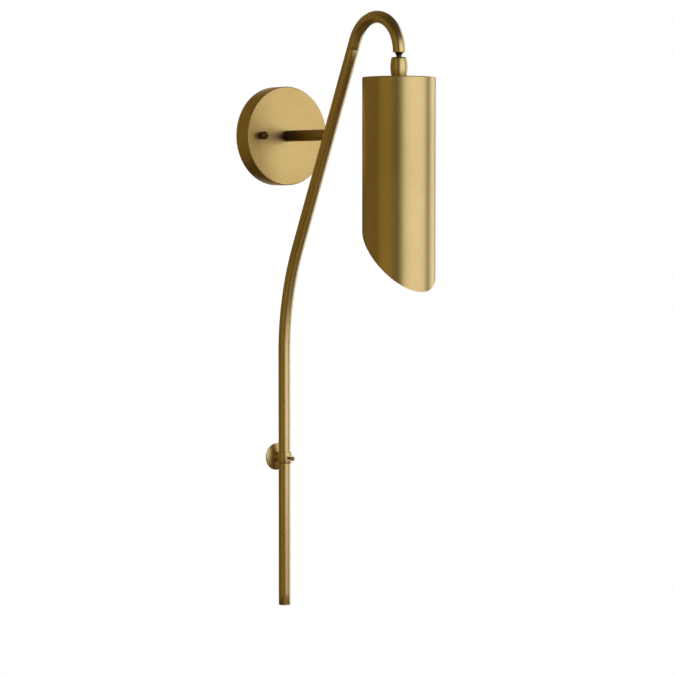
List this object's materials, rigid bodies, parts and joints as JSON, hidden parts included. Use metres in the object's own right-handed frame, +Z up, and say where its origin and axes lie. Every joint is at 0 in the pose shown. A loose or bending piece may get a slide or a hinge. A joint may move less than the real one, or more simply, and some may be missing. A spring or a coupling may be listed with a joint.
{
  "type": "picture light",
  "caption": "Wall-mounted picture light with a round canopy, long bent stem, gooseneck, ball swivel, slant-cut cylindrical shade and a sliding lower wall support.",
  "frame": {"origin": "centre of the canopy's rear rim, on the wall plane", "axes": "+Z up, +X to the right for someone facing the wall, +Y into the wall, so the light stands out towards -Y"},
  "size_m": [0.127, 0.2947, 0.7609],
  "materials": {
    "satin_brass": "fine brushed, aged, satin clear coat",
    "dark_brass": "aged brass, satin",
    "plain_brass": "plain, unfinished",
    "zinc_steel": "zinc plated",
    "green_screw": "green passivated",
    "connector_plastic": "moulded",
    "lead_insulation": "extruded insulation",
    "seat_plastic": "moulded nylon",
    "porcelain": "glazed",
    "plain_metal_cap": "plain aluminium",
    "opal_glass": "opal, satin",
    "light_strip": "coated strip"
  },
  "bodies": {
    "fixture": {"mounting_bracket": "zinc_steel", "bracket_studs": "zinc_steel", "ground_screw": "green_screw", "wire_connectors": "connector_plastic", "supply_leads": "lead_insulation", "canopy": "satin_brass", "arm_tube": "satin_brass", "arm_end_plug": "satin_brass", "arm_nipple": "zinc_steel", "arm_lock_washer": "zinc_steel", "arm_locknut": "zinc_steel", "stem_tube": "satin_brass", "stem_end_cap": "satin_brass", "stem_coupler": "satin_brass", "gooseneck_tube": "satin_brass", "gooseneck_bushing": "dark_brass"},
    "nut_left": {"canopy_nut_left": "dark_brass"},
    "nut_right": {"canopy_nut_right": "dark_brass"},
    "stud": {"swivel_stud": "dark_brass", "stud_clip": "zinc_steel"},
    "barrel": {"swivel_barrel": "satin_brass", "ball_seat": "seat_plastic", "seat_spring": "zinc_steel", "barrel_plug": "satin_brass"},
    "shade": {"shade_shell": "satin_brass", "shade_nipple": "zinc_steel", "shade_washer": "zinc_steel", "shade_locknut": "zinc_steel", "socket_cap": "zinc_steel", "socket_body": "porcelain", "socket_shell": "plain_brass", "socket_contact": "plain_brass", "socket_leads": "lead_insulation"},
    "lamp_contact": {"bulb_tip": "plain_metal_cap"},
    "lamp": {"bulb_cap": "plain_metal_cap", "bulb_glass": "opal_glass", "bulb_filament": "light_strip"},
    "support": {"foot_rosette": "satin_brass", "foot_post": "satin_brass", "stem_collar": "satin_brass"},
    "screw_shank": {"thumb_screw": "dark_brass"},
    "screw_knob": {"thumb_knob": "satin_brass"}
  },
  "joints": [
    {"name": "nut_left_turn", "type": "hinge", "parent": "fixture", "child": "nut_left", "pos_m": [-0.0421, -0.0255, 0], "axis": [0, -1, 0], "continuous": true},
    {"name": "nut_right_turn", "type": "hinge", "parent": "fixture", "child": "nut_right", "pos_m": [0.0421, -0.0255, 0], "axis": [0, -1, 0], "continuous": true},
    {"name": "stud_spin", "type": "hinge", "parent": "fixture", "child": "stud", "pos_m": [0, -0.2499, 0.0853], "axis": [0, 0, 1], "range_deg": [-170, 170]},
    {"name": "barrel_tilt", "type": "hinge", "parent": "stud", "child": "barrel", "pos_m": [0, -0.2499, 0.0853], "axis": [1, 0, 0], "range_deg": [-25, 25]},
    {"name": "shade_turn", "type": "hinge", "parent": "barrel", "child": "shade", "pos_m": [0, -0.2499, 0.0674], "axis": [0, 0, 1], "range_deg": [-170, 170]},
    {"name": "lamp_travel", "type": "slide", "parent": "shade", "child": "lamp_contact", "axis": [0, 0, -1], "range_m": [0, 0.01452]},
    {"name": "lamp_turn", "type": "hinge", "parent": "lamp_contact", "child": "lamp", "pos_m": [0, -0.2499, 0.0392], "axis": [0, 0, -1], "range_deg": [0, 1441]},
    {"name": "support_slide", "type": "slide", "parent": "fixture", "child": "support", "axis": [0, 0, 1], "range_m": [-0.18, 0.115]},
    {"name": "screw_travel", "type": "slide", "parent": "support", "child": "screw_shank", "axis": [0, -1, 0], "range_m": [0, 0.0014]},
    {"name": "screw_turn", "type": "hinge", "parent": "screw_shank", "child": "screw_knob", "pos_m": [0, -0.0354, -0.4175], "axis": [0, -1, 0], "range_deg": [0, 1009]}
  ],
  "couplings": [
    {"joint": "lamp_turn", "follows": "lamp_travel", "rad_per_m": 1731.4},
    {"joint": "screw_turn", "follows": "screw_travel", "rad_per_m": 12566}
  ]
}
